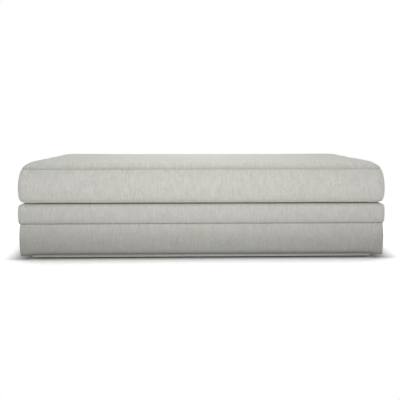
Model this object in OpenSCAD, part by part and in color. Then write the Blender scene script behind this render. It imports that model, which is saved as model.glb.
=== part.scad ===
// Long upholstered bench ottoman: timber frame on a recessed plinth, padded base and band,
// webbed deck and a loose box cushion with a zip in its back boxing.
// Length runs along X, depth along Y with the front at -Y, and Z = 0 is the floor.

/* [Overall] */
// Length of the covered base
base_l = 1750; // [1400:10:2000]
// Depth of the covered base
base_d = 700; // [600:10:900]
// Radius of the upright corners of the covered base
corner_r = 14; // [10:1:24]

/* [Heights] */
// Height of the glides that stand on the floor
glide_h = 6; // [4:1:12]
// Height of the plinth that shows under the base
plinth_h = 28; // [24:1:60]
// Height of the base panels, up to the low seam
base_h = 143; // [100:1:200]
// Height of the padded band above the low seam
band_h = 93; // [80:1:130]
// Height of the cushion's boxing, seam to seam
boxing_h = 152; // [90:1:200]
// Rise of the cushion's top panel above its seam
crown_h = 35; // [15:1:60]
// Drop of the cushion's bottom panel below its seam
belly_h = 15; // [8:1:30]

/* [Base and band] */
// Roundness of the base panels' long edges
base_edge_r = 6; // [4:0.5:8]
// How far the padded base panels are drawn in towards their lower edge
base_low_lean = 6; // [0:0.5:7]
// How far the padded base panels are drawn in towards the low seam
base_top_lean = 2; // [0:0.5:4]
// How far the band stands proud of the base
band_proud = 5; // [0:1:12]
// Roundness of the band's lower edge, at the low seam
band_low_r = 6; // [4:1:12]
// How far the padded band is drawn in towards the low seam
band_low_lean = 3; // [0:0.5:5]
// Roundness of the band's top edge
band_top_r = 18; // [10:1:24]
// Foam thickness on the outside of the base panels
base_pad_t = 11.4; // [8:0.1:16]
// Width of the band cover's flap on top of the deck
flap_w = 70; // [50:1:120]

/* [Plinth] */
// How far the plinth stands in from the base
plinth_recess = 46; // [30:1:80]
// Thickness of the plinth boards
plinth_t = 18; // [15:1:24]
// Leg length of the triangular corner blocks in the plinth
plinth_block = 90; // [70:1:120]
// Width of the middle blocks along the plinth
middle_block_w = 80; // [60:1:120]
// Depth of the middle blocks
middle_block_d = 46; // [40:1:80]
// Distance of the middle blocks and cross rails from the centre
bay_x = 280; // [200:10:400]

/* [Glides and screws] */
// Radius of a glide's disc
glide_r = 14; // [10:0.5:17]
// Radius of a glide's nail
glide_nail_r = 1.6; // [1:0.1:2.5]
// Length of a glide's nail
glide_nail_l = 16; // [10:1:20]
// Radius of a screw's shank
screw_r = 2.2; // [1.5:0.1:3]
// Radius of a screw's head
screw_head_r = 4.4; // [3.5:0.1:6]
// Length of a screw
screw_l = 44; // [40:1:50]
// Depth of a screw's head below the block's face
screw_sink = 1.5; // [1:0.1:3]
// Distance of the corner glides from the plinth boards, and of the screws from the glides
foot_margin = 4; // [3:0.5:8]

/* [Frame] */
// Thickness of the frame's rails
rail_t = 20; // [18:1:25]
// Thickness of the flat bottom boards
bottom_t = 18; // [15:1:22]
// Width of the flat bottom boards
bottom_w = 90; // [80:1:140]
// Leg length of the triangular blocks in the frame's corners
frame_block = 45; // [30:1:70]
// Drop of the corner blocks and cross rails below the rails' top
deck_drop = 22; // [15:1:40]
// Depth of the housings that hold the cross rails
housing_t = 6; // [3:1:9]

/* [Deck] */
// Width of a webbing strap
strap_w = 60; // [40:1:70]
// Thickness of a webbing strap
strap_t = 2; // [1.5:0.1:3]
// Straps that run front to back
cross_straps = 13; // [8:1:14]
// Straps that run end to end
long_straps = 4; // [3:1:5]
// Thickness of the hessian over the webbing
hessian_t = 1; // [0.8:0.1:2]
// Thickness of the foam under the deck cloth
deck_foam_t = 13; // [10:0.5:16]

/* [Cloth] */
// Thickness of the upholstery cloth with its backing
cloth_t = 2; // [1.5:0.1:3]
// Thickness of the dust cloth under the frame
dust_t = 1; // [0.8:0.1:2]
// Gap between layers that lie against each other
layer_gap = 0.3; // [0.2:0.05:0.5]

/* [Cushion] */
// How far the cushion's seams stand in from the base
seam_inset = 5; // [0:1:15]
// Plan radius of the cushion's seams at the corners
seam_r = 20; // [16:1:40]
// Room that the seam allowances take inside the cover
seam_room = 2; // [0.5:0.5:3]
// How much further out the low seam runs than the top seam
low_seam_out = 8; // [0:1:10]
// How far the boxing swells past its seams
boxing_bulge = 12; // [10:1:16]
// How square the boxing swells: 2 is round, more is flatter in the middle
boxing_fullness = 2.6; // [2:0.1:4]
// Width of the curved shoulder of the top panel
shoulder_w = 78; // [50:1:110]
// Width of the curved edge of the bottom panel
belly_w = 46; // [30:1:80]
// Gap under the loose cushion
lift_gap = 0.4; // [0.3:0.1:1]

/* [Zip] */
// Distance of the zip opening's ends from the cushion's seams
zip_end = 60; // [50:1:120]
// Height of the opening between the two zip strips
zip_slot = 11; // [10:0.5:14]
// Depth of the chain's middle behind the boxing's face
zip_recess = 7.5; // [7:0.1:9]
// Width of one tape behind its strip
tape_w = 15; // [12:1:20]
// Thickness of the tapes
tape_t = 1; // [0.8:0.1:1.2]
// Width of the closed chain
chain_w = 6.2; // [6:0.1:7]
// Thickness of the chain
chain_t = 2.2; // [2:0.1:2.6]
// Gap in the chain's middle where the slider's post runs
chain_split = 1.6; // [1.4:0.1:2]
// Length of the slider
slider_l = 13; // [11:0.5:16]
// Thickness of the stops' metal
stop_t = 1; // [0.8:0.1:1.5]
// Thickness of the slider's plates
plate_t = 1.2; // [1:0.1:1.4]
// Thickness of the slider's side flanges
flange_t = 0.8; // [0.6:0.1:0.9]
// Running gap round the slider and the pull's pivot
zip_gap = 0.35; // [0.3:0.05:0.4]
// Length of the pull tab from its pivot
pull_l = 23; // [18:1:26]
// Width of the pull tab
pull_w = 6.4; // [5:0.1:8]
// Radius of the pull's pivot bar
pivot_r = 0.6; // [0.5:0.05:0.7]

/* [Hidden] */
SIDES = ["front", "back", "left", "right"];

// Levels above the floor
base_z = glide_h + plinth_h;
band_z = base_z + base_h;
deck_z = band_z + band_h;
frame_z = base_z + cloth_t + layer_gap;
deck_foam_top = deck_z - cloth_t - layer_gap;
deck_foam_z = deck_foam_top - deck_foam_t;
strap_rise = (strap_t + layer_gap) / 2;
hessian_z = deck_foam_z - layer_gap - hessian_t;
rail_top = hessian_z - layer_gap - strap_rise - strap_t;
cushion_z = deck_z + lift_gap;
low_seam_z = cushion_z + belly_h;
top_seam_z = low_seam_z + boxing_h;
// Frame plan
rail_inset = cloth_t + base_pad_t + 2 * layer_gap;
rail_l = base_l - 2 * rail_inset;
rail_d = base_d - 2 * rail_inset;
inner_l = rail_l - 2 * rail_t;
inner_d = rail_d - 2 * rail_t;
board_top = frame_z + bottom_t;
inner_top = rail_top - deck_drop;
// Plinth plan
plinth_l = base_l - 2 * plinth_recess;
plinth_d = base_d - 2 * plinth_recess;
board_l = plinth_l - 2 * cloth_t;
board_d = plinth_d - 2 * cloth_t;
plinth_top = frame_z - dust_t;
glide_in = plinth_t + glide_r + foot_margin;
corner_screw_in = glide_in + glide_r + screw_head_r + foot_margin;
middle_in = plinth_t + middle_block_d / 2;
middle_off = glide_r + foot_margin / 2;
// Cushion plan
seam_l = base_l - 2 * seam_inset;
seam_d = base_d - 2 * seam_inset;
cover_in = cloth_t + layer_gap;
core_in = cover_in + seam_room;
// How far the boxing stands out of the top seam: share is -1 at the low seam and 1 at the top seam
function boxing_out(share) =
  boxing_bulge * (1 - pow(abs(share), boxing_fullness)) + low_seam_out * (1 - share) / 2;
// Zip places
zip_z = low_seam_z + boxing_h / 2;
back_face = seam_d / 2 + boxing_out(0);
zip_y = back_face - zip_recess;
zip_l = seam_l - 2 * zip_end;
lip_y = zip_y + tape_t / 2 + layer_gap;
plate_y = chain_t / 2 + zip_gap;
flange_z = chain_w / 2 + zip_gap;
slider_w = 2 * (flange_z + flange_t);
pivot_y = zip_y + plate_y + plate_t + zip_gap + pivot_r;
// Lug and post of the slider, stops, and hole in the pull
lug_w = 2.6;
lug_t = 1;
lug_half = 2 * pivot_r + 2 * zip_gap;
post_l = 4;
stop_l = 2;
pull_hole_r = pull_w / 5;
pull_hole_x = pull_l - pull_w / 2 - pull_hole_r / 2;
// The slider rests this far short of the zip's end, past the pull's length
zip_spare = 4;
slider_x = -(zip_l / 2 - pull_l - zip_spare);
// Share of the height, from below, at which a padded side stands out most
base_widest = 0.6;
band_widest = 0.5;
// Glides, nails and screws
glide_round = 3;
nail_point = 3;
screw_point = 6;
hole_fit = 0.1;
head_fit = 0.2;
hole_spare = 2;
// Flat stretch of a strap past the strap it crosses, and past the rail
strap_over = 4;
rail_over = 2;
// Growth of a cushion panel's corner radius for each millimetre that it is drawn in
corner_ease = 0.35;
// Slit between the boxing and each panel at their seam
seam_slit = 0.3;
// Steps in round stretches of outlines, and past-the-face reach of cuts
arc_steps = 6;
lean_steps = 6;
ring_steps = 9;
crown_steps = 8;
belly_steps = 5;
boxing_steps = 10;
small_round = 24;
disc_round = 32;
corner_round = 48;
cut_reach = 60;
eps = 1;

function arc(x, y, r, a0, a1, n = arc_steps) =
  [for (i = [0:n]) let (a = a0 + (a1 - a0) * i / n) [x + r * cos(a), y + r * sin(a)]];

// Outline of a rectangle with rounded corners, centred, with n steps to a corner
function round_rect(l, d, r, n = arc_steps) = concat(
  arc(l / 2 - r, d / 2 - r, r, 0, 90, n), arc(-l / 2 + r, d / 2 - r, r, 90, 180, n),
  arc(-l / 2 + r, -d / 2 + r, r, 180, 270, n), arc(l / 2 - r, -d / 2 + r, r, 270, 360, n));

function reversed(points) = [for (i = [len(points) - 1:-1:0]) points[i]];

// How far a padded side leans in at height z: lean[0] at z0 and lean[1] at z1, nothing at height zm
function leaning(z, z0, z1, zm, lean) = z < zm
  ? lean[0] * pow((zm - z) / (zm - z0), 2) : lean[1] * pow((z - zm) / (z1 - zm), 2);

// One padded side from z0 up to z1: its edges' radii are r[0] and r[1], w / 2 is where it stands out most
function padded_side(w, z0, z1, r, lean, widest) =
  let (zm = z0 + (z1 - z0) * widest, low = z0 + r[0], high = z1 - r[1])
  [for (p = concat(arc(w / 2 - r[0], low, r[0], -90, 0),
      [for (i = [1:lean_steps - 1]) [w / 2, low + (high - low) * i / lean_steps]],
      arc(w / 2 - r[1], high, r[1], 0, 90)))
    [p[0] - leaning(p[1], z0, z1, zm, lean), p[1]]];

function upright(w, z0, z1, r, lean, widest) = let (side = padded_side(w, z0, z1, r, lean, widest))
  concat(side, [for (p = reversed(side)) [-p[0], p[1]]]);

// Padded block with rounded upright corners, rounded long edges and swelling sides
module soft_block(l, d, z0, z1, corner, r, lean, widest) {
  intersection() {
    translate([0, 0, z0]) linear_extrude(height = z1 - z0) polygon(round_rect(l, d, corner));
    translate([-l / 2 - eps, 0, 0]) rotate([90, 0, 90])
      linear_extrude(height = l + 2 * eps) polygon(upright(d, z0, z1, r, lean, widest));
    translate([0, d / 2 + eps, 0]) rotate([90, 0, 0])
      linear_extrude(height = d + 2 * eps) polygon(upright(l, z0, z1, r, lean, widest));
  }
}

module box(l, d, z0, z1) {
  translate([-l / 2, -d / 2, z0]) cube([l, d, z1 - z0]);
}

// Keeps one side's share, cut at the corners on 45 degrees
module one_side(side) {
  l = base_l / 2 + cut_reach;
  d = base_d / 2 + cut_reach;
  turn = (side == "back" || side == "right") ? 180 : 0;
  outline = (side == "front" || side == "back")
    ? [[-l, -d], [l, -d], [l - d, 0], [d - l, 0]]
    : [[-l, -d], [d - l, 0], [-l, d]];
  intersection() {
    children();
    rotate([0, 0, turn]) translate([0, 0, -eps]) linear_extrude(height = deck_z + 2 * eps) polygon(outline);
  }
}

// Upright board along one side of a rectangle l by d: front and back run through
module side_board(side, l, d, t, z0, z1) {
  long = side == "front" || side == "back";
  sign = (side == "front" || side == "left") ? -1 : 1;
  if (long) translate([-l / 2, sign * (d / 2 - t / 2) - t / 2, z0]) cube([l, t, z1 - z0]);
  else translate([sign * (l / 2 - t / 2) - t / 2, -d / 2 + t, z0]) cube([t, d - 2 * t, z1 - z0]);
}

// Places of the glides, and of the screws beside them, as [x, y]
glide_spots = concat(
  [for (sx = [-1, 1], sy = [-1, 1]) [sx * (board_l / 2 - glide_in), sy * (board_d / 2 - glide_in)]],
  [for (sx = [-1, 1], sy = [-1, 1]) [sx * (bay_x + middle_off), sy * (board_d / 2 - middle_in)]]);
screw_spots = concat(
  [for (sx = [-1, 1], sy = [-1, 1]) [sx * (board_l / 2 - corner_screw_in), sy * (board_d / 2 - glide_in)]],
  [for (sx = [-1, 1], sy = [-1, 1]) [sx * (bay_x - middle_off), sy * (board_d / 2 - middle_in)]]);

module at_spots(spots) for (p = spots) translate([p[0], p[1], 0]) children();

module screw_holes() {
  at_spots(screw_spots)
    cylinder(r = screw_r + hole_fit, h = glide_h + screw_sink + screw_l + hole_spare, $fn = small_round);
}

// One glide: a domed disc with a nail
module glide() {
  rotate_extrude($fn = disc_round) polygon(concat(
    [[0, 0]], arc(glide_r - glide_round, glide_round, glide_round, -90, 0, 3),
    [[glide_r, glide_h], [glide_nail_r, glide_h],
    [glide_nail_r, glide_h + glide_nail_l - nail_point], [0, glide_h + glide_nail_l]]));
}

module glides() color("dimgray") at_spots(glide_spots) glide();

// One countersunk screw, point up
module screw() {
  rotate_extrude($fn = small_round) polygon([
    [0, 0], [screw_head_r, 0], [screw_r, screw_head_r - screw_r],
    [screw_r, screw_l - screw_point], [0, screw_l]]);
}

module plinth_screws() color("silver")
  at_spots(screw_spots) translate([0, 0, glide_h + screw_sink]) screw();

// Triangular corner blocks and square middle blocks that take the glides and screws
module plinth_blocks() color("burlywood") {
  difference() {
    translate([0, 0, glide_h]) linear_extrude(height = plinth_top - glide_h) {
      for (sx = [-1, 1], sy = [-1, 1]) {
        translate([sx * (board_l / 2 - plinth_t), sy * (board_d / 2 - plinth_t)])
          polygon([[0, 0], [-sx * plinth_block, 0], [0, -sy * plinth_block]]);
        translate([sx * bay_x - middle_block_w / 2, sy * (board_d / 2 - middle_in) - middle_block_d / 2])
          square([middle_block_w, middle_block_d]);
      }
    }
    at_spots(glide_spots) translate([0, 0, glide_h - eps])
      cylinder(r = glide_nail_r + hole_fit, h = glide_nail_l + eps + hole_spare, $fn = small_round);
    screw_holes();
    head_l = screw_sink + screw_head_r - screw_r;
    at_spots(screw_spots) translate([0, 0, glide_h - eps])
      cylinder(r = screw_head_r + head_fit, h = head_l + eps, $fn = small_round);
  }
}

module plinth_board(side) color("burlywood")
  side_board(side, board_l, board_d, plinth_t, glide_h, plinth_top);

// Cloth on the plinth's outer faces
module plinth_cloth(side) color("gainsboro") one_side(side) difference() {
  box(plinth_l, plinth_d, glide_h, base_z - layer_gap);
  box(board_l, board_d, glide_h - eps, base_z + eps);
}

// Thin black dust cloth between the plinth and the bottom boards
module dust_cloth() color("black") difference() {
  box(board_l, board_d, plinth_top, frame_z);
  screw_holes();
}

// Flat boards under the frame, with pilot holes for the plinth's screws
module bottom_board(side) color("burlywood") difference() {
  side_board(side, inner_l, inner_d, bottom_w, frame_z, board_top);
  screw_holes();
}

// Frame rails, the long ones housed for the cross rails
module rail(side) color("burlywood") difference() {
  side_board(side, rail_l, rail_d, rail_t, frame_z, rail_top);
  if (side == "front" || side == "back") for (sx = [-1, 1])
    translate([sx * bay_x, 0, 0])
      box(rail_t, inner_d + 2 * housing_t, board_top, rail_top + eps);
}

module cross_rails() color("burlywood") for (sx = [-1, 1]) translate([sx * bay_x, 0, 0])
  box(rail_t, inner_d + 2 * housing_t, board_top, inner_top);

module frame_corner_blocks() color("burlywood")
  translate([0, 0, board_top]) linear_extrude(height = inner_top - board_top)
    for (sx = [-1, 1], sy = [-1, 1]) translate([sx * inner_l / 2, sy * inner_d / 2])
      polygon([[0, 0], [-sx * frame_block, 0], [0, -sy * frame_block]]);

// Base padding and its cover
module base_form(inset) {
  soft_block(base_l - 2 * inset, base_d - 2 * inset, base_z + inset, band_z - inset, corner_r - inset,
    [base_edge_r - inset, base_edge_r - inset], [base_low_lean, base_top_lean], base_widest);
}

module base_cover(side) color("gainsboro") one_side(side) difference() {
  base_form(0);
  base_form(cloth_t);
  box(rail_l + 2 * layer_gap, rail_d + 2 * layer_gap, frame_z, band_z + eps);
  box(plinth_l + 2 * layer_gap, plinth_d + 2 * layer_gap, base_z - eps, frame_z + eps);
}

module base_foam(side) color("khaki") one_side(side) difference() {
  base_form(cloth_t + layer_gap);
  box(rail_l + 2 * layer_gap, rail_d + 2 * layer_gap, base_z, band_z);
}

// Band padding and its cover, which turns in over the deck's edge
module band_form(inset) {
  soft_block(base_l + 2 * band_proud - 2 * inset, base_d + 2 * band_proud - 2 * inset,
    band_z + inset, deck_z - inset, corner_r + band_proud - inset,
    [band_low_r - inset, band_top_r - inset], [band_low_lean, 0], band_widest);
}

module deck_hole() {
  box(base_l - 2 * flap_w, base_d - 2 * flap_w, band_z, deck_z + eps);
}

module band_cover(side) color("gainsboro") one_side(side) difference() {
  band_form(0);
  band_form(cloth_t);
  box(rail_l + 2 * layer_gap, rail_d + 2 * layer_gap, band_z - eps, deck_foam_z);
  deck_hole();
}

module band_foam(side) color("khaki") one_side(side) difference() {
  band_form(cloth_t + layer_gap);
  box(rail_l + 2 * layer_gap, rail_d + 2 * layer_gap, band_z - eps, deck_foam_z);
  deck_hole();
}

// One interlaced strap: crossings is where the others cross it, first is 1 when it starts on top
module strap(length, crossings, first) {
  flat = strap_w / 2 + strap_over;
  on_rail = length / 2 - rail_t - rail_over;
  middle = strap_t / 2;
  line = concat([[-length / 2, 0], [-on_rail, 0]],
    [for (i = [0:len(crossings) - 1], e = [-1, 1])
      [crossings[i] + e * flat, strap_rise * first * (i % 2 == 0 ? 1 : -1)]],
    [[on_rail, 0], [length / 2, 0]]);
  outline = concat([for (p = line) [p[0], p[1] + middle]],
    [for (i = [len(line) - 1:-1:0]) [line[i][0], line[i][1] - middle]]);
  translate([0, strap_w / 2, 0]) rotate([90, 0, 0]) linear_extrude(height = strap_w) polygon(outline);
}

cross_x = [for (i = [0:cross_straps - 1]) (i - (cross_straps - 1) / 2) * inner_l / cross_straps];
long_y = [for (i = [0:long_straps - 1]) (i - (long_straps - 1) / 2) * inner_d / long_straps];
strap_z = rail_top + strap_t / 2;

module cross_webbing() color("tan") for (i = [0:cross_straps - 1])
  translate([cross_x[i], 0, strap_z]) rotate([0, 0, 90]) strap(rail_d, long_y, i % 2 == 0 ? 1 : -1);

module long_webbing() color("tan") for (i = [0:long_straps - 1])
  translate([0, long_y[i], strap_z]) strap(rail_l, cross_x, i % 2 == 0 ? -1 : 1);

module hessian() color("peru") box(rail_l, rail_d, hessian_z, hessian_z + hessian_t);

module deck_foam() color("khaki")
  box(base_l - 2 * flap_w - 2 * layer_gap, base_d - 2 * flap_w - 2 * layer_gap, deck_foam_z, deck_foam_top);

module deck_cloth() color("lightgray")
  box(base_l - 2 * flap_w - 2 * layer_gap, base_d - 2 * flap_w - 2 * layer_gap, deck_z - cloth_t, deck_z);

// Closed ring of points at height z: the top seam's plan, put out by grow and then drawn in by inset
function ring(grow, inset, z) = [for (p = round_rect(seam_l + 2 * grow - 2 * inset,
  seam_d + 2 * grow - 2 * inset, seam_r + grow + corner_ease * inset, ring_steps)) [p[0], p[1], z]];
ring_n = 4 * (ring_steps + 1);

// Quarter-round shoulder: rings from the seam, inset by start, in to the flat middle
function shoulder(grow, start, width, rise, n) = [for (i = [0:n]) let (a = 90 * i / n)
  each ring(grow, start + (width - start) * (1 - cos(a)), rise * sin(a))];

// Triangles between two neighbouring rings that start at points a and b
function band_faces(a, b) = [for (i = [0:ring_n - 1]) let (j = (i + 1) % ring_n)
  each [[a + i, b + i, b + j], [a + i, b + j, a + j]]];
function ring_cap(a) = [for (i = [1:ring_n - 2]) [a, a + i + 1, a + i]];
function flip(faces) = [for (f = faces) [f[2], f[1], f[0]]];

// Crowned panel of cloth: an outer and an inner shoulder, each with a flat middle
module crowned_panel(grow, width, rise, n) {
  outer = shoulder(grow, 0, width, rise, n);
  inner = shoulder(grow, cloth_t, width, rise - cloth_t, n);
  m = (n + 1) * ring_n;
  faces = concat(
    [for (k = [0:n - 1]) each band_faces(k * ring_n, (k + 1) * ring_n)], ring_cap(n * ring_n),
    flip([for (k = [0:n - 1]) each band_faces(m + k * ring_n, m + (k + 1) * ring_n)]),
    flip(ring_cap(m + n * ring_n)), flip(band_faces(0, m)));
  polyhedron(points = concat(outer, inner), faces = faces);
}

// Filling that lies under a crowned panel, flat on its other side
module crowned_fill(grow, width, rise, n) {
  points = shoulder(grow, core_in, width, rise - cover_in, n);
  faces = concat([for (k = [0:n - 1]) each band_faces(k * ring_n, (k + 1) * ring_n)],
    ring_cap(n * ring_n), flip(ring_cap(0)));
  polyhedron(points = points, faces = faces);
}

module top_panel() color("whitesmoke") translate([0, 0, top_seam_z])
  crowned_panel(0, shoulder_w, crown_h, crown_steps);
module fibre_top() color("white") translate([0, 0, top_seam_z])
  crowned_fill(0, shoulder_w, crown_h, crown_steps);
module bottom_panel() color("whitesmoke") translate([0, 0, low_seam_z]) rotate([180, 0, 0])
  crowned_panel(low_seam_out, belly_w, belly_h, belly_steps);
module fibre_bottom() color("white") translate([0, 0, low_seam_z]) rotate([180, 0, 0])
  crowned_fill(low_seam_out, belly_w, belly_h, belly_steps);

module cushion_core() color("khaki") translate([0, 0, low_seam_z + layer_gap])
  linear_extrude(height = boxing_h - 2 * layer_gap)
    polygon(round_rect(seam_l - 2 * core_in, seam_d - 2 * core_in, seam_r - core_in));

// Swelling side of the boxing, with x = start at the top seam, up to a distance from both seams
function boxing_side(start, from_seam) = [for (i = [0:boxing_steps])
  let (share = sin(180 * i / boxing_steps - 90) * (1 - 2 * from_seam / boxing_h))
  [start + boxing_out(share), boxing_h / 2 * (1 + share)]];
module boxing_section(start)
  polygon(concat(boxing_side(start, seam_slit), reversed(boxing_side(start - cloth_t, seam_slit))));

// Length of boxing along X, centred, facing -Y with its seams on y = 0
module boxing_run(length) {
  translate([length / 2, 0, low_seam_z]) rotate([90, 0, -90]) linear_extrude(height = length)
    boxing_section(0);
}

// Boxing round a corner, centred on the corner's axis
module boxing_corner(from, angle) {
  translate([0, 0, low_seam_z]) rotate([0, 0, from])
    rotate_extrude(angle = angle, $fn = corner_round) boxing_section(seam_r);
}

module boxing_front() color("whitesmoke") {
  translate([0, -seam_d / 2, 0]) boxing_run(seam_l - 2 * seam_r);
  for (sx = [-1, 1]) translate([sx * (seam_l / 2 - seam_r), -(seam_d / 2 - seam_r), 0])
    boxing_corner(sx > 0 ? -90 : -135, 45);
}

// End boxing, which also turns the back corner as far as the zip strips
module boxing_end(sx) color("whitesmoke") {
  translate([sx * seam_l / 2, 0, 0]) rotate([0, 0, sx * 90]) boxing_run(seam_d - 2 * seam_r);
  translate([sx * (seam_l / 2 - seam_r), -(seam_d / 2 - seam_r), 0])
    boxing_corner(sx > 0 ? -45 : 180, 45);
  translate([sx * (seam_l / 2 - seam_r), seam_d / 2 - seam_r, 0]) boxing_corner(sx > 0 ? 0 : 90, 90);
  translate([sx * (seam_l / 2 - seam_r / 2 - zip_end / 2), seam_d / 2, 0])
    rotate([0, 0, 180]) boxing_run(zip_end - seam_r);
}

// Strip above (up = 1) or below (up = -1) the zip, with its edge folded in as a lip
module zip_strip(up) color("whitesmoke") {
  edge = zip_z + up * zip_slot / 2;
  length = zip_l - 2 * layer_gap;
  intersection() {
    translate([0, seam_d / 2, 0]) rotate([0, 0, 180]) boxing_run(length);
    translate([-length, 0, up > 0 ? edge : edge - boxing_h]) cube([2 * length, base_d, boxing_h]);
  }
  translate([-length / 2, lip_y, up > 0 ? edge : edge - cloth_t])
    cube([length, back_face - cloth_t / 2 - lip_y, cloth_t]);
}

// Fibre between the core's straight sides and the swelling boxing
module fibre_sides() color("white") {
  length = seam_l - 2 * seam_r;
  depth = seam_d - 2 * seam_r;
  translate([0, -seam_d / 2, 0]) fibre_run(length);
  for (sx = [-1, 1]) translate([sx * seam_l / 2, 0, 0]) rotate([0, 0, sx * 90]) fibre_run(depth);
}

module fibre_run(length) {
  translate([length / 2, 0, low_seam_z]) rotate([90, 0, -90])
    linear_extrude(height = length) polygon(concat(boxing_side(-cover_in, core_in),
      [[layer_gap - core_in, boxing_h - core_in], [layer_gap - core_in, core_in]]));
}

module zip_tapes() color("gray") for (up = [-1, 1])
  translate([-zip_l / 2, zip_y - tape_t / 2, zip_z + (up > 0 ? chain_w / 2 : -chain_w / 2 - tape_w)])
    cube([zip_l, tape_t, tape_w]);

// Both halves of the chain, with room between them for the slider's post
module zip_chain() color("darkgray") for (up = [-1, 1])
  translate([-zip_l / 2, zip_y - chain_t / 2, zip_z + (up > 0 ? chain_split / 2 : -chain_w / 2)])
    cube([zip_l, chain_t, chain_w / 2 - chain_split / 2]);

module zip_stops() color("silver") for (sx = [-1, 1])
  translate([sx * (-slider_x + slider_l / 2 + stop_l) - stop_l / 2,
      zip_y + chain_t / 2, zip_z - chain_w / 2])
    cube([stop_l, stop_t, chain_w]);

// Slider: two plates with flanges round the chain, a post between them and a lug for the pull
module zip_slider() color("silver") translate([slider_x, zip_y, zip_z]) {
  for (s = [-1, 1]) {
    translate([-slider_l / 2, s > 0 ? plate_y : -plate_y - plate_t, -slider_w / 2])
      cube([slider_l, plate_t, slider_w]);
    for (up = [-1, 1]) translate([-slider_l / 2, s > 0 ? tape_t / 2 + zip_gap : -plate_y,
        up > 0 ? flange_z : -flange_z - flange_t])
      cube([slider_l, plate_y - tape_t / 2 - zip_gap, flange_t]);
  }
  post = chain_split - 2 * zip_gap;
  translate([-slider_l / 2 + lug_t, -plate_y, -post / 2]) cube([post_l, 2 * plate_y, post]);
  lug_y = pivot_y - zip_y + pivot_r + zip_gap;
  for (sx = [-1, 1]) translate([sx * (lug_half - lug_t / 2) - lug_t / 2, plate_y + plate_t, -lug_w / 2])
    cube([lug_t, lug_y - plate_y - plate_t, lug_w]);
  translate([-lug_half, lug_y, -lug_w / 2]) cube([2 * lug_half, lug_t, lug_w]);
}

// Pull: a pivot bar through the lug, two arms and a tab with a rounded end
module zip_pull() color("silver") translate([slider_x, pivot_y, zip_z]) {
  arm = (pull_w - lug_w - 2 * zip_gap) / 2;
  translate([0, 0, -pull_w / 2]) cylinder(r = pivot_r, h = pull_w, $fn = small_round);
  for (up = [-1, 1]) translate([0, -pivot_r, up > 0 ? pull_w / 2 - arm : -pull_w / 2])
    cube([slider_l / 2, 2 * pivot_r, arm]);
  difference() {
    union() {
      translate([slider_l / 2 - eps, -pivot_r, -pull_w / 2])
        cube([pull_l - slider_l / 2 + eps - pull_w / 2, 2 * pivot_r, pull_w]);
      translate([pull_l - pull_w / 2, -pivot_r, 0]) rotate([-90, 0, 0])
        cylinder(r = pull_w / 2, h = 2 * pivot_r, $fn = disc_round);
    }
    translate([pull_hole_x, -pivot_r - eps, 0]) rotate([-90, 0, 0])
      cylinder(r = pull_hole_r, h = 2 * pivot_r + 2 * eps, $fn = small_round);
  }
}

glides();
plinth_screws();
plinth_blocks();
for (side = SIDES) {
  plinth_board(side);
  plinth_cloth(side);
  bottom_board(side);
  rail(side);
  base_foam(side);
  base_cover(side);
  band_foam(side);
  band_cover(side);
}
dust_cloth();
cross_rails();
frame_corner_blocks();
cross_webbing();
long_webbing();
hessian();
deck_foam();
deck_cloth();
cushion_core();
fibre_top();
fibre_bottom();
fibre_sides();
top_panel();
bottom_panel();
boxing_front();
boxing_end(-1);  // boxing_left
boxing_end(1);  // boxing_right
zip_strip(1);  // zip_strip_upper
zip_strip(-1);  // zip_strip_lower
zip_tapes();
zip_chain();
zip_stops();
zip_slider();
zip_pull();
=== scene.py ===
# Long upholstered bench ottoman: the looks of every piece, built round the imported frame.
import math

import bmesh
import bpy
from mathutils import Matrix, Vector, noise


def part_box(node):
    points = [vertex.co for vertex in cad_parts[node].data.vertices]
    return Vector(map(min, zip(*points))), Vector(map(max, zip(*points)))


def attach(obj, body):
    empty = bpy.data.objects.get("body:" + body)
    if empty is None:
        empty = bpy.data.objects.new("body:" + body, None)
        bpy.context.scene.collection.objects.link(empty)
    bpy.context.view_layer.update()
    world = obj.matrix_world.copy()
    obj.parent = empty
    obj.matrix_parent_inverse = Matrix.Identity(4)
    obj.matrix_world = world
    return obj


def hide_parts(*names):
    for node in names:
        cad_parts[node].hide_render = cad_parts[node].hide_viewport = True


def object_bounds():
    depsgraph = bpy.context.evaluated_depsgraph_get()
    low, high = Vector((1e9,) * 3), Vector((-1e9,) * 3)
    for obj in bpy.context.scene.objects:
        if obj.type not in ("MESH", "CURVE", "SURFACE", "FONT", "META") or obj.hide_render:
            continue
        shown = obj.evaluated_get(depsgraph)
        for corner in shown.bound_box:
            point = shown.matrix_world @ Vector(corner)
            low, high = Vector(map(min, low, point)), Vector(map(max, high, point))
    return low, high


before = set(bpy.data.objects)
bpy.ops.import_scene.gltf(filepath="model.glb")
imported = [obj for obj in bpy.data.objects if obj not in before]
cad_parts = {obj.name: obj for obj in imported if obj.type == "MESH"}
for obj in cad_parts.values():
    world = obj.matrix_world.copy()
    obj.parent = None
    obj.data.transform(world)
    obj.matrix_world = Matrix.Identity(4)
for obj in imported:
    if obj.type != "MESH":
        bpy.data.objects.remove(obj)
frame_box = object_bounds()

SIDES = ("front", "back", "left", "right")
UP = Vector((0, 0, 1))
TINY = 1e-6


def all_sides(name):
    """A name with each side of the bench added to it."""
    return [f"{name}_{side}" for side in SIDES]


def span(*names):
    """Lowest and highest corner of several nodes together."""
    boxes = [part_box(name) for name in names]
    low = Vector([min(box[0][i] for box in boxes) for i in range(3)])
    high = Vector([max(box[1][i] for box in boxes) for i in range(3)])
    return low, high


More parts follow.
